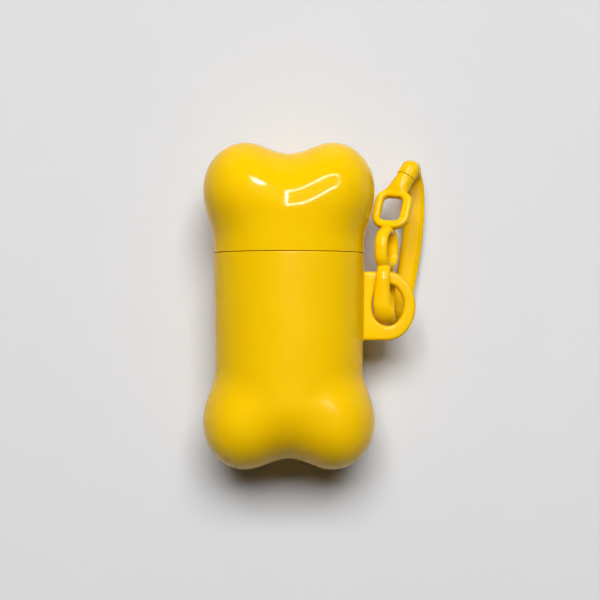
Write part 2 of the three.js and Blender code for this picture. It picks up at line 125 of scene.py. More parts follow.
# Swivel link
LINK_X = 25.06
LOWER_TURN = math.radians(13)
UPPER_TURN = math.radians(25)
UPPER_SHIFT = 0.36
LIMB_WIDTH = 3.4
LIMB_DEPTH = 2.4
RING_RADIUS = 4.1
LOWER_RING_BOTTOM = -3.6
RING_JOIN = 10.675
UPPER_RING_LENGTH = 8.85
UPPER_RING_CORNERS = (4.1, 2.8)  # above and below
# Height, added width and shift to the right of the lower ring's section, from the bottom up
LOWER_RING_SPREAD = [(-3.6, 1.3, 0.45), (-2.0, 1.6, 0.2), (0.6, 1.1, -0.3), (9.0, 0.0, 0.0)]
EVEN_SPREAD = [(0.0, 0.0, 0.0)]
EYE_SHIFT = 0.89
EYE_WIDTH = 9.8
EYE_HEIGHT = 11.1
EYE_BAR = 2.1
EYE_DEPTH = 2.6
EYE_CORNER = 2.4
EYE_SEAT = 0.75 * EYE_BAR  # from the upper ring's top to the middle of the eye's lowest bar
EYE_RIGHT_BAR = 2.6  # the bar away from the bone is thicker
EYE_RIGHT_SIDE = 5.05  # its outer face, from the eye's middle
EYE_ALONG = np.array([0.9446, -0.111, 0.309])
EYE_UP = np.array([0.2194, 0.9137, -0.342])
NECK_LEAN = math.radians(18.5)
NECK_RADIUS = 2.45
NECK_LENGTH = 5.5
NECK_ROUNDING = 0.1
NECK_FLARE = 0.8  # of the neck's foot along the eye's bar
NECK_FOOT_SHARE = 0.75  # of the neck's length, over which the flare runs out
NECK_FOOT_DEPTH = 1.25
PIN_RADIUS = 0.95
PIN_HEAD_RADIUS = 1.55
PIN_HEAD_THICKNESS = 0.9
SWIVEL_GAP = 0.06  # as it looks from outside

# Hook
BOSS_RADIUS = 2.6
BOSS_LENGTH = 4.8
BOSS_LIP = 1.0
ARM_ROOT = 4.8
ARM_WIDTH = 5.5
ARM_DEPTH = 4.0
ARM_DROP = 11.3
ARM_LENGTH = 36.1
ARM_TIP_LENGTH = 2.8
ARM_SHOULDER_X = 3.1
ARM_SHOULDER_Y = -2.0
ARM_BELLY_X = 4.32
ARM_BELLY_Y = -13.7
ARM_TIP_X = -1.4
ARM_TIP_SHARE = 0.08  # of the arm's width, left at the very tip
ARM_RIDGE = 1.3  # of the front face's edge from the arm's middle
ARM_SLOPE = 0.55  # fall of the face beyond the ridge

# Squareness of a section: 2 is an ellipse, and higher is closer to a rectangle
ROUND = 2.0
EYE_SQUARENESS = 3.0
ARM_SQUARENESS = 3.5

# How finely the surfaces are drawn
AROUND = 256 if FINE else 128
END_STEPS = 96 if FINE else 48  # from a pole to the barrel's end
TUBE_SIDES = 48 if FINE else 32
VOXEL = 0.1 if FINE else 0.16
SIDE_STEP = 0.6  # along the barrel
EDGE_STEP = 0.5  # along the straight edges of the slot and the tab's root
POLE_SHARE = 0.004  # of the quarter turn, from a pole to the ring next to it
HALVINGS = 40  # in the search for a surface
RIM_STEPS = 6
LIP_STEPS = 5
BEAD_POINTS = 13
TAB_END_SAMPLES = 1200
TAB_SIDE_SAMPLES = 400
TAB_ROOT_SAMPLES = 600
TAB_CORNER_STEPS = 80
TAB_EDGE_POINTS = 9
ROOT_CORNER_STEPS = 10
FILLET_POINTS = 8
SLOT_END_POINTS = 40
SLOT_LIP_POINTS = 10
RING_STEPS = 24
EYE_STEPS = 16
NECK_POINTS = 12
NECK_STEPS = 5
BOSS_STEPS = 16
ARM_POINTS = 40
ARM_TIP_POINTS = 16
CURVE_SAMPLES = 400
CURVE_NUDGE = 0.002  # to both sides of a point, for the curve's direction there
ROLL_SIDES = 180
ROLL_STATIONS = 60
CORE_SIDES = 96
CORE_STATIONS = 12
CORE_EDGE_STEPS = 4
LINK_SMOOTHING = 10
HOOK_SMOOTHING = 8
SAME_POINT = 1e-5
NO_LENGTH = 1e-6
SHARP_ANGLE = math.radians(38)

# Colours
DEEP_YELLOW = (0.85, 0.5, 0.001)
PALE_YELLOW = (0.89, 0.54, 0.002)
DEEP_GREEN = (0.012, 0.16, 0.045)
PALE_GREEN = (0.05, 0.34, 0.12)
DEEP_BROWN = (0.2, 0.105, 0.045)
PALE_BROWN = (0.5, 0.31, 0.16)
DEEP_FLOOR = (0.65, 0.652, 0.665)
PALE_FLOOR = (0.68, 0.682, 0.695)
SKY = (0.97, 0.98, 1.0)

# Picture: the camera looks straight down
CAMERA = (-4.38, 1.56, 349.65)
CLIP_START = 0.01  # in metres
FIELD_WIDTH = 156.0  # what the picture spans at the height of the bone's axis
SENSOR = 36.0
FLOOR_HALF_SIZE = 3.0  # in metres

# Light: one broad lamp, which the plastic doesn't reflect, and a frame of bars, which it does
SKY_STRENGTH = 0.025
AIM_HEIGHT = 20
KEY_PLACE = (50, 880, 1800)
KEY_SIZE = (1240, 780)
KEY_POWER = 50.5
FRAME_CORNERS = [(-50, 200), (620, 360), (620, 980), (-50, 930)]
FRAME_HEIGHT = 900.0
FRAME_POWERS = (20.0, 12.0, 28.0, 34.0)
FRAME_WIDTHS = (30.0, 30.0, 30.0, 45.0)


# Shapes in code

def unit(vector):
    return np.asarray(vector, float) / np.linalg.norm(vector)


def make_object(name, points, faces):
    mesh = bpy.data.meshes.new(name)
    mesh.from_pydata([tuple(p) for p in points], [], faces)
    mesh.update()
    made = bpy.data.objects.new(name, mesh)
    bpy.context.scene.collection.objects.link(made)
    return made


def clean(made):
    """Merges doubled points, and turns all faces outwards."""
    work = bmesh.new()
    work.from_mesh(made.data)
    bmesh.ops.remove_doubles(work, verts=work.verts, dist=SAME_POINT)
    bmesh.ops.dissolve_degenerate(work, edges=work.edges, dist=NO_LENGTH)
    bmesh.ops.recalc_face_normals(work, faces=work.faces)
    if work.calc_volume(signed=True) < 0:
        bmesh.ops.reverse_faces(work, faces=work.faces)
    work.to_mesh(made.data)
    work.free()
    return made


def skin(name, rings, closed=False):
    """Joins rings of points into one closed skin. Open ends are fanned to their middle."""
    rings = np.asarray(rings)
    count = rings.shape[1]
    points = list(rings.reshape(-1, 3))
    faces = []
    strips = len(rings) if closed else len(rings) - 1
    for i in range(strips):
        here = i * count
        there = ((i + 1) % len(rings)) * count
        for j in range(count):
            k = (j + 1) % count
            faces.append((here + j, here + k, there + k, there + j))
    if not closed:
        for end, ring in ((0, rings[0]), ((len(rings) - 1) * count, rings[-1])):
            middle = len(points)
            points.append(ring.mean(axis=0))
            for j in range(count):
                faces.append((end + j, middle, end + (j + 1) % count))
    return clean(make_object(name, points, faces))


def baked(made):
    """Applies the modifiers of an object."""
    graph = bpy.context.evaluated_depsgraph_get()
    mesh = bpy.data.meshes.new_from_object(made.evaluated_get(graph))
    made.modifiers.clear()
    made.data = mesh
    return made


def combined(made, other, operation):
    """Adds the other shape or cuts it out, and removes it."""
    modifier = made.modifiers.new("combine", "BOOLEAN")
    modifier.solver = "MANIFOLD"
    modifier.operation = operation
    modifier.object = other
    baked(made)
    bpy.data.objects.remove(other)
    return made


def softened(made, passes):
    """Remeshes a moulded piece evenly, and rounds its edges and inner corners a little."""
    remesh = made.modifiers.new("remesh", "REMESH")
    remesh.mode = "VOXEL"
    remesh.voxel_size = VOXEL
    smooth = made.modifiers.new("smooth", "SMOOTH")
    smooth.factor = 0.5
    smooth.iterations = passes
    return baked(made)


def section(width, depth, squareness):
    """Outline across a limb, as (across, up)."""
    angle = (np.arange(TUBE_SIDES) + 0.5) / TUBE_SIDES * 2 * math.pi
    power = ROUND / squareness
    across, up = np.cos(angle), np.sin(angle)
    return np.stack([
        width / 2 * np.sign(across) * np.abs(across) ** power,
        depth / 2 * np.sign(up) * np.abs(up) ** power,
    ], axis=1)


def rounded_loop(width, height, radii, steps):
    """Centre line of a ring with round corners, as points and outward directions."""
    points, outwards = [], []
    above, below = np.broadcast_to(radii, 2)
    for corner, (side_x, side_y) in enumerate([(1, 1), (-1, 1), (-1, -1), (1, -1)]):
        radius = above if side_y > 0 else below
        for i in range(steps + 1):
            angle = (corner + i / steps) * math.pi / 2
            outward = np.array([math.cos(angle), math.sin(angle)])
            centre = np.array([side_x * (width / 2 - radius), side_y * (height / 2 - radius)])
            points.append(centre + outward * radius)
            outwards.append(outward)
    return np.array(points), np.array(outwards)


def ring_along(loop, profile):
    """A section's outline at each point of a loop in the XY plane."""
    points, outwards = loop
    flat = points[:, None, :] + outwards[:, None, :] * profile[None, :, 1:2]
    side = np.broadcast_to(profile[None, :, 0:1], flat.shape[:2] + (1,))
    return np.concatenate([flat, side], axis=2)


def revolved(profile, segments):
    """Rings round the Y axis, one for each (radius, height)."""
    angle = np.arange(segments) / segments * 2 * math.pi
    return np.array([
        np.stack([r * np.sin(angle), np.full(segments, h), r * np.cos(angle)], axis=1)
        for r, h in profile
    ])


def arc(centre, radius, start, end, steps):
    """Points of a profile's rounded corner, in degrees from the first axis."""
    angles = np.radians(np.linspace(start, end, steps + 1))
    return [(centre[0] + radius * math.cos(a), centre[1] + radius * math.sin(a)) for a in angles]


def turned_about_y(points, angle):
    c, s = math.cos(angle), math.sin(angle)
    x, y, z = points[..., 0], points[..., 1], points[..., 2]
    return np.stack([c * x + s * z, y, c * z - s * x], axis=-1)


# The bone's form

def barrel_radius(y):
    share = np.clip((y + WAIST_Y) / (2 * WAIST_Y), 0, 1)
    return BARREL_RADIUS_LOW + (BARREL_RADIUS_TOP - BARREL_RADIUS_LOW) * share


def barrel_x(y, z):
    """Of the barrel's right side."""
    return math.sqrt(float(barrel_radius(y)) ** 2 - z * z)


def ellipsoid_distance(offset, radii):
    scaled = offset / radii
    size = np.linalg.norm(scaled, axis=-1)
    return size * (size - 1) / np.maximum(np.linalg.norm(scaled / radii, axis=-1), 1e-9)


def soft_union(a, b, blend):
    mix = np.maximum(blend - np.abs(a - b), 0) / blend
    return np.minimum(a, b) - mix * mix * blend / 4


def bone_distance(point):
    """Distance from the bone's surface, negative inside it."""
    x, y, z = point[..., 0], point[..., 1], point[..., 2]
    side = np.where(y < 0, -1.0, 1.0)
    radius = barrel_radius(y)
    end = np.stack([x, y - side * BARREL_END_Y, z], axis=-1)
    end_radii = np.stack([radius, np.full_like(radius, BARREL_END_LENGTH), radius], axis=-1)
    found = np.where(
        np.abs(y) <= BARREL_END_Y, np.hypot(x, z) - radius, ellipsoid_distance(end, end_radii))
    facing = np.clip(np.abs(z) / LOBE_RADII[2], 0, 1) ** 2
    blend = BLEND + (FRONT_BLEND - BLEND) * facing
    for lobe_x in (-LOBE_X, LOBE_X):
        lobe = np.stack([x - lobe_x, y - side * LOBE_Y, z], axis=-1)
        found = soft_union(found, ellipsoid_distance(lobe, LOBE_RADII), blend)
    return found


def bone_rings(stations, depth, bore=None):
    """Rings where rays from the axis meet the bone's surface, or a surface inside it."""
    y = np.array([s[0] for s in stations])[:, None]
    tilt = np.array([s[1] for s in stations])[:, None]
    angle = (np.arange(AROUND) / AROUND * 2 * math.pi)[None, :]
    way = np.stack(np.broadcast_arrays(
        np.sin(tilt) * np.cos(angle), np.cos(tilt), np.sin(tilt) * np.sin(angle)), axis=-1)
    start = np.zeros_like(way)
    start[..., 1] = y
    near = np.zeros(way.shape[:2])
    far = np.full(way.shape[:2], LOBE_X + LOBE_Y)
    for _ in range(HALVINGS):
        middle = (near + far) / 2
        inside = bone_distance(start + way * middle[..., None]) < -depth
        near = np.where(inside, middle, near)
        far = np.where(inside, far, middle)
    if bore is not None:
        near = np.minimum(near, bore / np.maximum(np.sin(tilt), NO_LENGTH))
    return start + way * near[..., None]


def end_stations(side, steps):
    """From the pole of one end to where the rays stand square to the axis."""
    tilts = np.linspace(POLE_SHARE, 1, steps) * math.pi / 2
    return [(side * CORE_Y, t if side > 0 else math.pi - t) for t in tilts]


def side_stations(start, end, step):
    count = max(int(round(abs(end - start) / step)), 1)
    return [(y, math.pi / 2) for y in np.linspace(start, end, count + 1)[1:]]


def level_rings(profile):
    """Rings of a round profile, in step with the bone's rings."""
    return revolved(profile, AROUND)[..., ::-1]


seam_radius = float(barrel_radius(SEAM_Y))
neck_radius = seam_radius - CAP_SKIRT_WALL - FIT_GAP
bore_radius = neck_radius - NECK_WALL
neck_top = SEAM_Y + NECK_HEIGHT


def body_shell():
    low = SEAM_Y - SEAM_GAP / 2
    rim = RIM_ROUNDING
    lip = INNER_ROUNDING
    rim_radius = float(barrel_radius(low - rim))
    bead_y = neck_top - BEAD_DROP
    bead = [
        (neck_radius + BEAD_HEIGHT * (0.5 + 0.5 * math.cos(math.pi * t)),
         bead_y + t * BEAD_LENGTH / 2)
        for t in np.linspace(-1, 1, BEAD_POINTS)
    ]
    outside = bone_rings(
        end_stations(-1, END_STEPS) + side_stations(-CORE_Y, low - rim, SIDE_STEP), 0)
    edge = level_rings(
        arc((rim_radius - rim, low - rim), rim, 0, 90, RIM_STEPS)[1:]
        + [(neck_radius + lip, low)]
        + arc((neck_radius + lip, low + lip), lip, 270, 180, LIP_STEPS)[1:]
        + bead
        + arc((neck_radius - lip, neck_top - lip), lip, 0, 90, RIM_STEPS)
        + arc((bore_radius + lip, neck_top - lip), lip, 90, 180, RIM_STEPS))
    inside = bone_rings(
        side_stations(neck_top - lip, -CORE_Y, 2 * SIDE_STEP)
        + end_stations(-1, END_STEPS // 2)[::-1][1:], WALL, bore_radius)
    shell = skin("shell_visual", np.concatenate([outside, edge, inside]))
    for extra in (tab(), tab_root()):
        combined(shell, extra, "UNION")
    return combined(shell, slot_cutter(), "DIFFERENCE")


def tab_outline(count):
    """The tab's edge seen from the hole's middle, with its outward directions and bearings."""
    root_x = (bore_radius + float(barrel_radius(0))) / 2
    dense = []
    for a in np.radians(np.linspace(-90, 90, TAB_END_SAMPLES)):
        dense.append((TAB_END_X + TAB_END_LENGTH * math.cos(a), TAB_HALF_HEIGHT * math.sin(a)))
    corner_x, corner_y = root_x + TAB_CORNER, TAB_HALF_HEIGHT - TAB_CORNER
    for x in np.linspace(TAB_END_X, corner_x, TAB_SIDE_SAMPLES)[1:]:
        dense.append((x, TAB_HALF_HEIGHT))
    dense += arc((corner_x, corner_y), TAB_CORNER, 90, 180, TAB_CORNER_STEPS)[1:]
    for y in np.linspace(corner_y, -corner_y, TAB_ROOT_SAMPLES)[1:]:
        dense.append((root_x, y))
    dense += arc((corner_x, -corner_y), TAB_CORNER, 180, 270, TAB_CORNER_STEPS)[1:]
    for x in np.linspace(corner_x, TAB_END_X, TAB_SIDE_SAMPLES)[1:-1]:
        dense.append((x, -TAB_HALF_HEIGHT))
    dense = np.array(dense)
    ahead = np.roll(dense, -1, axis=0) - np.roll(dense, 1, axis=0)
    outward = np.stack([ahead[:, 1], -ahead[:, 0]], axis=1)
    outward /= np.linalg.norm(outward, axis=1)[:, None]
    bearing = np.arctan2(dense[:, 1] - TAB_HOLE_Y, dense[:, 0] - TAB_HOLE_X)
    wanted = (np.arange(count) + 0.5) / count * 2 * math.pi - math.pi
    chosen = np.array([np.argmin(np.abs(bearing - w)) for w in wanted])
    return dense[chosen], outward[chosen], wanted


def tab():
    count = 4 * TUBE_SIDES
    edge, outward, bearing = tab_outline(count)
    half = TAB_THICKNESS / 2
    rounding = [(-TAB_EDGE * (1 - math.cos(a)), half - TAB_EDGE * (1 - math.sin(a)))
                for a in np.radians(np.linspace(90, 0, TAB_EDGE_POINTS))]
    profile = rounding + [(inset, -height) for inset, height in rounding[::-1]]
    hole_way = np.stack([
        TAB_HOLE_RADIUS_Y * np.cos(bearing), TAB_HOLE_RADIUS_X * np.sin(bearing)], axis=1)
    reach = TAB_HOLE_RADIUS_X * TAB_HOLE_RADIUS_Y / np.linalg.norm(hole_way, axis=1)
    hole = np.stack([np.cos(bearing), np.sin(bearing)], axis=1) * reach[:, None]
    inward = np.stack([
        hole[:, 0] / TAB_HOLE_RADIUS_X ** 2, hole[:, 1] / TAB_HOLE_RADIUS_Y ** 2], axis=1)
    inward /= np.linalg.norm(inward, axis=1)[:, None]
    hole += np.array([TAB_HOLE_X, TAB_HOLE_Y])
    rings = []
    for i in range(count):
        ring = [(*(edge[i] + outward[i] * inset), height) for inset, height in profile]
        ring += [(*(hole[i] - inward[i] * inset), height) for inset, height in profile[::-1]]
        rings.append(ring)
    return skin("tab", rings, closed=True)


def tab_root():
    """A small fillet where the tab grows out of the barrel."""
    loop = rounded_loop(2 * TAB_HALF_HEIGHT, TAB_THICKNESS, TAB_EDGE, ROOT_CORNER_STEPS)
    points, outwards = [], []
    for i, (point, outward) in enumerate(zip(*loop)):
        points.append(point)
        outwards.append(outward)
        if (i + 1) % (ROOT_CORNER_STEPS + 1) == 0:
            following = loop[0][(i + 1) % len(loop[0])]
            steps = max(int(np.linalg.norm(following - point) / EDGE_STEP), 1)
            for share in np.arange(1, steps) / steps:
                points.append(point + (following - point) * share)
                outwards.append(outward)
    rings = []
    for point, outward in zip(points, outwards):
        ring = []
        for t in np.radians(np.linspace(0, 90, FILLET_POINTS)):
            away = TAB_FILLET * (1 - math.sin(t))
            out = TAB_FILLET * (1 - math.cos(t))
            y, z = point + outward * away
            ring.append((barrel_x(y, z) + out, y, z))
        y, z = point - outward * TAB_EDGE / 3
        ring.append((barrel_x(y, z) + TAB_FILLET, y, z))
        ring.append((barrel_x(y, z) - TAB_FILLET, y, z))
        y, z = point + outward * TAB_FILLET
        ring.append((barrel_x(y, z) - TAB_FILLET, y, z))
        rings.append(ring)
    return skin("tab_root", rings, closed=True)


def slot_cutter():
    """Cuts the bag slot through the back wall, with a rounded mouth."""
    straight = (SLOT_LENGTH - SLOT_WIDTH) / 2
    outline, outwards = [], []
    for side in (1, -1):
        for t in np.linspace(0, math.pi, SLOT_END_POINTS):
            outward = side * np.array([math.cos(t), math.sin(t)])
            outline.append(outward * SLOT_WIDTH / 2 + np.array([0, side * straight]))
            outwards.append(outward)
    dense_line, dense_out = [], []
    for i in range(len(outline)):
        here, there = outline[i], outline[(i + 1) % len(outline)]
        steps = max(int(np.linalg.norm(there - here) / EDGE_STEP), 1)
        for k in range(steps):
            dense_line.append(here + (there - here) * k / steps)
            dense_out.append(outwards[i])
    line, out = np.array(dense_line), np.array(dense_out)
    levels = [(SLOT_LIP, OVERRUN)]
    levels += [(SLOT_LIP * (1 - math.sin(t)), -SLOT_LIP * (1 - math.cos(t)))
               for t in np.radians(np.linspace(0, 90, SLOT_LIP_POINTS))]
    levels += [(0, -bore_radius / 2)]
    rings = []
    for grow, height in levels:
        flat = line + out * grow
        y = flat[:, 1] + SLOT_Y
        back = np.sqrt(barrel_radius(y) ** 2 - flat[:, 0] ** 2)
        rings.append(np.stack([flat[:, 0], y, -back - height], axis=1))
    return skin("slot_cutter", rings)


def cap():
    high = SEAM_Y + SEAM_GAP / 2
    rim = RIM_ROUNDING
    lip = INNER_ROUNDING
    rim_radius = float(barrel_radius(high + rim))
    socket = neck_radius + FIT_GAP
    outside = bone_rings(
        end_stations(1, END_STEPS) + side_stations(CORE_Y, high + rim, SIDE_STEP / 2), 0)
    edge = level_rings(
        arc((rim_radius - rim, high + rim), rim, 0, -90, RIM_STEPS)[1:]
        + arc((socket + lip, high + lip), lip, 270, 180, RIM_STEPS)
        + [(socket, neck_top)]
        + arc((socket - lip, neck_top), lip, 0, 90, LIP_STEPS)[1:]
        + arc((bore_radius + lip, neck_top + FIT_GAP + lip), lip, 270, 180, LIP_STEPS))
    inside = bone_rings(
        side_stations(neck_top + FIT_GAP + lip, CORE_Y, SIDE_STEP)
        + end_stations(1, END_STEPS // 2)[::-1][1:], WALL, bore_radius)
    return skin("cap_visual", np.concatenate([outside, edge, inside]))


# Swivel link and hook

upper_ring_top = RING_JOIN + UPPER_RING_LENGTH
eye_top_y = EYE_HEIGHT - EYE_BAR
eye_normal = np.cross(EYE_ALONG, EYE_UP)
eye_place = np.array([EYE_SHIFT, upper_ring_top + EYE_SEAT, 0])
eye_axes = np.stack([EYE_ALONG, EYE_UP, eye_normal])
neck_axis = unit(math.sin(NECK_LEAN) * EYE_ALONG + math.cos(NECK_LEAN) * EYE_UP)
swivel = eye_place + EYE_UP * eye_top_y + neck_axis * NECK_LENGTH
pin_head_low = FIT_GAP / 2 + BOSS_LIP + FIT_GAP
pin_head_high = pin_head_low + PIN_HEAD_THICKNESS


def on_neck(profile, flatness=1.0):
    """Turns a profile round the neck's axis, with its zero at the swivel's gap."""
    across = np.cross(neck_axis, eye_normal)
    rings = revolved(profile, TUBE_SIDES)
    rings[..., 2] *= np.reshape(flatness, (-1, 1))
    return rings @ np.stack([across, neck_axis, eye_normal]) + swivel


def link_ring(low, high, corners, turn, shift, spread):
    """One ring of the link, whose front limb can be spread and shifted by height."""
    profile = section(LIMB_WIDTH, LIMB_DEPTH, ROUND)
    loop = rounded_loop(2 * RING_RADIUS, high - low, corners, RING_STEPS)
    rings = ring_along(loop, profile) + np.array([0, (high + low) / 2, 0])
    middles = rings.mean(axis=1)
    front = 1 - np.clip(middles[:, :1] / RING_RADIUS, 0, 1)
    heights, wider, over = np.array(spread).T
    rings[..., 2] *= 1 + front * np.interp(middles[:, 1:2], heights, wider) / LIMB_WIDTH
    rings[..., 2] += front * np.interp(middles[:, 1:2], heights, over)
    return turned_about_y(rings, math.pi / 2 - turn) + np.array([shift, 0, 0])


def link_eye():
    loop = rounded_loop(EYE_WIDTH - EYE_BAR, eye_top_y, EYE_CORNER, EYE_STEPS)
    eye = ring_along(loop, section(EYE_DEPTH, EYE_BAR, EYE_SQUARENESS))
    inner = EYE_WIDTH / 2 - EYE_BAR
    eye[..., 0] = np.interp(
        eye[..., 0], [-EYE_WIDTH, 0, inner, EYE_WIDTH / 2],
        [-EYE_WIDTH, 0, EYE_RIGHT_SIDE - EYE_RIGHT_BAR, EYE_RIGHT_SIDE])
    return (eye + np.array([0, eye_top_y / 2, 0])) @ eye_axes + eye_place


def link_neck():
    """The neck with its flat foot on the eye's bar, and the headed pin at its end."""
    face = -SWIVEL_GAP / 2
    rise = np.linspace(0, 1, NECK_POINTS)
    swell = NECK_RADIUS + NECK_FLARE * (1 - rise) ** 2
    foot = np.stack([swell, -NECK_LENGTH * (1 - rise * NECK_FOOT_SHARE)], axis=1)
    upper = (
        arc((NECK_RADIUS - NECK_ROUNDING, face - NECK_ROUNDING), NECK_ROUNDING, 0, 90, NECK_STEPS)
        + [(PIN_RADIUS, face), (PIN_RADIUS, pin_head_low), (PIN_HEAD_RADIUS, pin_head_low),
           (PIN_HEAD_RADIUS, (pin_head_low + pin_head_high) / 2), (PIN_RADIUS, pin_head_high),
           (0, pin_head_high)])
    least = NECK_FOOT_DEPTH / swell[0]
    flat = least + (1 - least) * np.sin(rise * math.pi / 2)
    flatness = np.concatenate([[flat[0]], flat, np.ones(len(upper))])
    return on_neck([(0, -NECK_LENGTH)] + [tuple(pair) for pair in foot] + upper, flatness)


def swivel_link():
    lower = link_ring(
        LOWER_RING_BOTTOM, RING_JOIN, RING_RADIUS, LOWER_TURN, 0, LOWER_RING_SPREAD)
    upper = link_ring(
        RING_JOIN, upper_ring_top, UPPER_RING_CORNERS, UPPER_TURN, UPPER_SHIFT, EVEN_SPREAD)
    link = skin("link_visual", lower, closed=True)
    combined(link, skin("upper", upper, closed=True), "UNION")
    combined(link, skin("eye", link_eye(), closed=True), "UNION")
    combined(link, skin("neck", link_neck()), "UNION")
    return softened(link, LINK_SMOOTHING)


def bezier(points, share):
    points = [np.asarray(p) for p in points]
    while len(points) > 1:
        points = [a + (b - a) * share for a, b in zip(points, points[1:])]
    return points[0]


def evenly(curve, shares):
    """Points and directions at shares of a curve's length, and that length."""
    steps = np.linspace(0, 1, CURVE_SAMPLES)
    dense = np.array([bezier(curve, t) for t in steps])
    run = np.concatenate([[0], np.cumsum(np.linalg.norm(np.diff(dense, axis=0), axis=1))])
    found, ways = [], []
    for share in shares:
        t = np.interp(share * run[-1], run, steps)
        found.append(bezier(curve, t))
        ahead, behind = min(t + CURVE_NUDGE, 1), max(t - CURVE_NUDGE, 0)
        ways.append(unit(bezier(curve, ahead) - bezier(curve, behind)))
    return found, ways, run[-1]


def sections_along(curve, shares, sizes):
    """Sections square to a curve, with a ridge along their front."""
    rings = []
    for point, way, share in zip(*evenly(curve, shares)[:2], shares):
        across = np.array([-1.0, 0, 0])
        across = unit(across - way * across.dot(way))
        upward = np.cross(way, across)
        width, depth, squareness, slope = sizes(share)
        flat = section(width, depth, squareness)
        past = np.maximum(-flat[:, 0] - ARM_RIDGE * width / ARM_WIDTH, 0)
        flat[:, 1] = np.maximum(flat[:, 1], past * slope - depth / 2)
        rings.append(point + flat[:, :1] * across + flat[:, 1:] * upward)
    return rings


def hook():
    start = swivel + neck_axis * (BOSS_LENGTH - BOSS_RADIUS)
    level = start[2] - ARM_DROP
    shoulder_y = swivel[1] + ARM_SHOULDER_Y
    shoulder = np.array([swivel[0] + ARM_SHOULDER_X, shoulder_y, level])
    belly = np.array([swivel[0] + ARM_BELLY_X, swivel[1] + ARM_BELLY_Y, level])
    tip = np.array([swivel[0] + ARM_TIP_X, shoulder_y - ARM_LENGTH, level])
    pull = ARM_DROP / 2
    crown = [start, start + np.array([ARM_WIDTH / 8, ARM_WIDTH / 4, -pull]),
             shoulder - unit(belly - shoulder) * pull, shoulder]
    arm = [shoulder, belly, tip]
    tip_start = 1 - ARM_TIP_LENGTH / evenly(arm, [0])[2]

    def crown_size(share):
        return (ARM_ROOT + (ARM_WIDTH - ARM_ROOT) * share,
                ARM_ROOT + (ARM_DEPTH - ARM_ROOT) * share,
                ROUND + (ARM_SQUARENESS - ROUND) * share,
                ARM_SLOPE * share)

    def arm_size(share):
        past = max((share - tip_start) / (1 - tip_start), 0)
        left = max(math.sqrt(max(1 - past * past, 0)), ARM_TIP_SHARE)
        return ARM_WIDTH * left, ARM_DEPTH * left, ARM_SQUARENESS, ARM_SLOPE

    shares = list(np.linspace(0, tip_start, ARM_POINTS)[1:])
    shares += [tip_start + (1 - tip_start) * math.sin(t)
               for t in np.linspace(0, math.pi / 2, ARM_TIP_POINTS)[1:]]
    made = skin("hook_visual", (
        sections_along(crown, np.linspace(0, 1, ARM_POINTS), crown_size)
        + sections_along(arm, shares, arm_size)))
    gap = SWIVEL_GAP / 2
    edge = (BOSS_RADIUS - NECK_ROUNDING, gap + NECK_ROUNDING)
    boss = on_neck(
        [(0, gap)] + arc(edge, NECK_ROUNDING, -90, 0, NECK_STEPS)
        + arc((0, BOSS_LENGTH - BOSS_RADIUS), BOSS_RADIUS, 0, 90, BOSS_STEPS))
    combined(made, skin("boss", boss), "UNION")
    low = FIT_GAP / 2 + BOSS_LIP
    seat = on_neck([
        (0, -FIT_GAP), (PIN_RADIUS + FIT_GAP, -FIT_GAP), (PIN_RADIUS + FIT_GAP, low),
        (PIN_HEAD_RADIUS + FIT_GAP, low),
        (PIN_HEAD_RADIUS + FIT_GAP, (pin_head_low + pin_head_high) / 2 + FIT_GAP / 2),
        (PIN_RADIUS + FIT_GAP, pin_head_high + FIT_GAP), (0, pin_head_high + FIT_GAP)])
    combined(made, skin("seat", seat), "DIFFERENCE")
    return softened(made, HOOK_SMOOTHING)


# Roll of bags and its core

roll_drop = bore_radius - FIT_GAP - ROLL_RADIUS
roll_floor = np.array([0, 0, FIT_GAP - bore_radius])


def roll_low():
    """How far down the roll can lie before it meets the closed end."""
    near, far = 0.0, LOBE_X + LOBE_Y
    for _ in range(HALVINGS):
        middle = (near + far) / 2
        point = roll_floor + np.array([0, -middle, 0])
        if bone_distance(point[None])[0] < -(WALL + FIT_GAP):
            near = middle
        else:
            far = middle
    return -near


roll_place = np.array([0, roll_low(), -roll_drop])


def bag_roll():
    """Wound film: the outer bag ends in a low step, and the turns' edges lie unevenly."""
    chance = np.random.default_rng(ROLL_SEED)
    angle = np.arange(ROLL_SIDES) / ROLL_SIDES * 2 * math.pi
    bands = np.linspace(CORE_RADIUS + FIT_GAP, ROLL_RADIUS - ROLL_LAP, WOUND_TURNS)
    sunk = chance.uniform(*TURN_DEPTHS, WOUND_TURNS)
    phases = chance.uniform(0, 2 * math.pi, len(RIPPLES))
    pitch = bands[1] - bands[0]

    def ring(radius, y, lap):
        r = radius - lap * angle / (2 * math.pi)
        return np.stack([r * np.cos(angle), np.full(ROLL_SIDES, y), r * np.sin(angle)], axis=1)

    face = []
    for radius, depth in zip(bands, sunk):
        face.append((radius, depth + TURN_GROOVE))
        face += [(radius + pitch * share, depth) for share in TURN_FLAT]
    face = [(min(radius, ROLL_RADIUS - ROLL_RIM), depth, ROLL_LAP * (radius > bands[-2]))
            for radius, depth in face]
    rings = [ring(radius, depth, lap) for radius, depth, lap in face]
    for y in np.linspace(ROLL_EDGE, ROLL_LENGTH - ROLL_EDGE, ROLL_STATIONS):
        waves = sum(np.sin(count * angle + phase + y * drift)
                    for (count, drift), phase in zip(RIPPLES, phases))
        rings.append(ring(ROLL_RADIUS + RIPPLE_HEIGHT * waves - RIPPLE_SINK, y, ROLL_LAP))
    rings += [ring(radius, ROLL_LENGTH - depth, lap) for radius, depth, lap in face[::-1]]
    return skin("roll_visual", np.array(rings) + roll_place, closed=True)


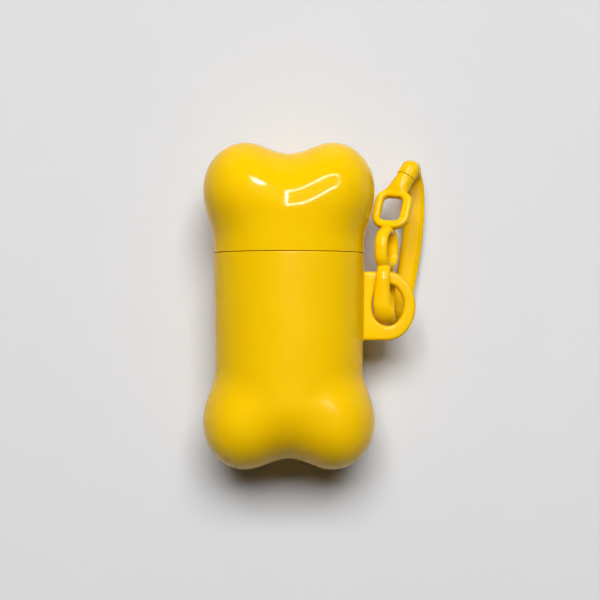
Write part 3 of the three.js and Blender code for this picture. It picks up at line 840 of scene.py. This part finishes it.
def roll_core():
    edge = CORE_WALL / 4
    inner, outer = CORE_RADIUS - CORE_WALL, CORE_RADIUS
    top = ROLL_LENGTH - edge
    heights = np.linspace(edge, top, CORE_STATIONS)[1:-1]
    profile = (
        arc((inner + edge, edge), edge, 180, 270, CORE_EDGE_STEPS)
        + arc((outer - edge, edge), edge, 270, 360, CORE_EDGE_STEPS)
        + [(outer, y) for y in heights]
        + arc((outer - edge, top), edge, 0, 90, CORE_EDGE_STEPS)
        + arc((inner + edge, top), edge, 90, 180, CORE_EDGE_STEPS)
        + [(inner, y) for y in heights[::-1]])
    return skin("core_visual", revolved(profile, CORE_SIDES) + roll_place, closed=True)


# Materials

def new_material(name):
    material = bpy.data.materials.new(name)
    material.use_nodes = True
    nodes, links = material.node_tree.nodes, material.node_tree.links
    return material, nodes, links, nodes["Principled BSDF"]


def set_values(node, values):
    for key, value in values.items():
        node.inputs[key].default_value = value


def noise(nodes, links, scale, detail, roughness):
    """Procedural noise in the object's own metres, at a scale per millimetre."""
    where = nodes.new("ShaderNodeTexCoord")
    made = nodes.new("ShaderNodeTexNoise")
    links.new(where.outputs["Object"], made.inputs["Vector"])
    set_values(made, {"Scale": scale / MILLIMETRE, "Detail": detail, "Roughness": roughness})
    return made.outputs["Fac"]


def mapped(nodes, links, setting, value):
    """The object's own coordinates in metres, stretched or turned."""
    where = nodes.new("ShaderNodeTexCoord")
    made = nodes.new("ShaderNodeMapping")
    set_values(made, {setting: value})
    links.new(where.outputs["Object"], made.inputs["Vector"])
    return made.outputs["Vector"]


def ranged(nodes, links, source, low, high, start=0.0, end=1.0):
    made = nodes.new("ShaderNodeMapRange")
    set_values(made, {"From Min": start, "From Max": end, "To Min": low, "To Max": high})
    links.new(source, made.inputs["Value"])
    return made.outputs["Result"]


def mixed(nodes, links, factor, first, second):
    made = nodes.new("ShaderNodeMix")
    made.data_type = "RGBA"
    set_values(made, {"A": (*first, 1), "B": (*second, 1)})
    links.new(factor, made.inputs["Factor"])
    return made.outputs["Result"]


def bumped(nodes, links, shader, height, strength, distance):
    made = nodes.new("ShaderNodeBump")
    set_values(made, {"Strength": strength, "Distance": distance * MILLIMETRE})
    links.new(height, made.inputs["Height"])
    links.new(made.outputs["Normal"], shader.inputs["Normal"])


def plastic(name, roughness, peel):
    """Glossy moulded plastic: faint mottling, orange peel and a fine haze in the gloss."""
    material, nodes, links, shader = new_material(name)
    cloud = noise(nodes, links, scale=0.06, detail=4.0, roughness=0.55)
    colour = mixed(nodes, links, ranged(nodes, links, cloud, 0, 1, start=0.3, end=0.7),
                   DEEP_YELLOW, PALE_YELLOW)
    links.new(colour, shader.inputs["Base Color"])
    haze = noise(nodes, links, scale=0.5, detail=6.0, roughness=0.6)
    gloss = ranged(
        nodes, links, haze, low=roughness * 0.8, high=roughness * 1.25, start=0.3, end=0.7)
    links.new(gloss, shader.inputs["Roughness"])
    ripple = noise(nodes, links, scale=0.35, detail=2.0, roughness=0.4)
    bumped(nodes, links, shader, ripple, strength=1.0, distance=peel)
    set_values(shader, {
        "IOR": 1.5,
        "Specular IOR Level": 0.05,
        "Subsurface Weight": 0.12,
        "Subsurface Radius": (1.0, 0.45, 0.06),
        "Subsurface Scale": 1.2 * MILLIMETRE,
    })
    return material


def film(name):
    """Thin green film, wound: fine lengthwise creases and a soft sheen."""
    material, nodes, links, shader = new_material(name)
    cloud = noise(nodes, links, scale=0.15, detail=5.0, roughness=0.6)
    links.new(mixed(nodes, links, cloud, DEEP_GREEN, PALE_GREEN), shader.inputs["Base Color"])
    links.new(ranged(nodes, links, cloud, low=0.32, high=0.5), shader.inputs["Roughness"])
    crease = nodes.new("ShaderNodeTexNoise")
    set_values(crease, {"Scale": 1.0, "Detail": 4.0})
    links.new(mapped(nodes, links, "Scale", (900, 90, 900)), crease.inputs["Vector"])
    bumped(nodes, links, shader, crease.outputs["Fac"], strength=0.6, distance=0.12)
    return material


def cardboard(name):
    """Brown paper tube, wound in strips with fine fibres."""
    material, nodes, links, shader = new_material(name)
    strip = nodes.new("ShaderNodeTexWave")
    strip.bands_direction = "Y"
    set_values(strip, {"Scale": 18.0, "Distortion": 0.6})
    lean = mapped(nodes, links, "Rotation", (0, 0, math.radians(35)))
    links.new(lean, strip.inputs["Vector"])
    fibre = noise(nodes, links, scale=2.0, detail=8.0, roughness=0.7)
    blend = nodes.new("ShaderNodeMath")
    blend.operation = "MULTIPLY_ADD"
    blend.inputs[1].default_value = 0.25  # the strips' share
    links.new(strip.outputs["Fac"], blend.inputs[0])
    links.new(ranged(nodes, links, fibre, low=0.0, high=0.75), blend.inputs[2])
    colour = mixed(nodes, links, blend.outputs["Value"], DEEP_BROWN, PALE_BROWN)
    links.new(colour, shader.inputs["Base Color"])
    set_values(shader, {"Roughness": 0.85})
    bumped(nodes, links, shader, fibre, strength=0.7, distance=0.06)
    return material


def finished(made, body, node, material):
    """Sets a finished piece in the part's frame, in metres, and on its body."""
    shift = Matrix.Translation(Vector(BONE_ORIGIN * MILLIMETRE))
    made.data.transform(shift @ Matrix.Scale(MILLIMETRE, 4))
    made.data.shade_smooth()
    made.data.set_sharp_from_angle(angle=SHARP_ANGLE)
    made.data.materials.clear()
    made.data.materials.append(material)
    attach(made, body)
    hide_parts(node)


def at_link(made):
    made.data.transform(Matrix.Translation((LINK_X, 0, 0)))
    return made


shell_plastic = plastic("moulded_yellow", roughness=0.22, peel=0.012)
cap_plastic = plastic("moulded_yellow_cap", roughness=0.105, peel=0.006)
clip_plastic = plastic("moulded_yellow_clip", roughness=0.2, peel=0.02)

finished(body_shell(), "body", "body_shell", shell_plastic)
finished(cap(), "cap", "cap", cap_plastic)
finished(at_link(swivel_link()), "link", "swivel_link", clip_plastic)
finished(at_link(hook()), "hook", "hook", clip_plastic)
finished(bag_roll(), "roll", "bag_roll", film("green_film"))
finished(roll_core(), "roll", "roll_core", cardboard("paper_tube"))


# Floor, light and camera

def floor():
    size = FLOOR_HALF_SIZE
    corners = [(-size, -size, 0), (size, -size, 0), (size, size, 0), (-size, size, 0)]
    made = make_object("floor", corners, [(0, 1, 2, 3)])
    material, nodes, links, shader = new_material("pale_floor")
    grain = noise(nodes, links, scale=0.02, detail=5.0, roughness=0.6)
    links.new(mixed(nodes, links, grain, DEEP_FLOOR, PALE_FLOOR), shader.inputs["Base Color"])
    set_values(shader, {"Roughness": 0.7, "Specular IOR Level": 0.0})
    made.data.materials.append(material)


def lamp(name, place, turn, size, power):
    light = bpy.data.lights.new(name, "AREA")
    light.energy = power
    light.shape = "RECTANGLE"
    light.size = size[0] * MILLIMETRE
    light.size_y = size[1] * MILLIMETRE
    made = bpy.data.objects.new(name, light)
    bpy.context.scene.collection.objects.link(made)
    made.location = Vector(place) * MILLIMETRE
    made.rotation_euler = turn
    return made


def key():
    lean = math.atan2(KEY_PLACE[1], KEY_PLACE[2] - AIM_HEIGHT)
    made = lamp("key", KEY_PLACE, (-lean, 0, 0), KEY_SIZE, KEY_POWER)
    made.visible_glossy = False


def light_frame():
    """Four bars, each from one corner to the next. A wider one grows outwards."""
    for i, (x, y) in enumerate(FRAME_CORNERS):
        next_x, next_y = FRAME_CORNERS[(i + 1) % len(FRAME_CORNERS)]
        length = math.hypot(next_x - x, next_y - y)
        out = (FRAME_WIDTHS[i] - min(FRAME_WIDTHS)) / 2 / length
        middle = ((x + next_x) / 2 + (next_y - y) * out, (y + next_y) / 2 - (next_x - x) * out,
                  FRAME_HEIGHT)
        turn = (0, 0, math.atan2(next_y - y, next_x - x))
        made = lamp(f"frame_{i}", middle, turn, (length, FRAME_WIDTHS[i]), FRAME_POWERS[i])
        made.visible_diffuse = False


def world():
    made = bpy.data.worlds.new("studio")
    made.use_nodes = True
    set_values(made.node_tree.nodes["Background"], {
        "Color": (*SKY, 1), "Strength": SKY_STRENGTH})
    bpy.context.scene.world = made


def camera():
    lens = bpy.data.cameras.new("camera")
    lens.sensor_width = SENSOR
    height = CAMERA[2] - BONE_ORIGIN[2]
    lens.lens = SENSOR * height / FIELD_WIDTH
    lens.clip_start = CLIP_START
    made = bpy.data.objects.new("camera", lens)
    made.location = Vector(CAMERA) * MILLIMETRE
    bpy.context.scene.collection.objects.link(made)
    bpy.context.scene.camera = made


floor()
world()
camera()
key()
light_frame()

scene = bpy.context.scene
scene.view_settings.view_transform = "Standard"
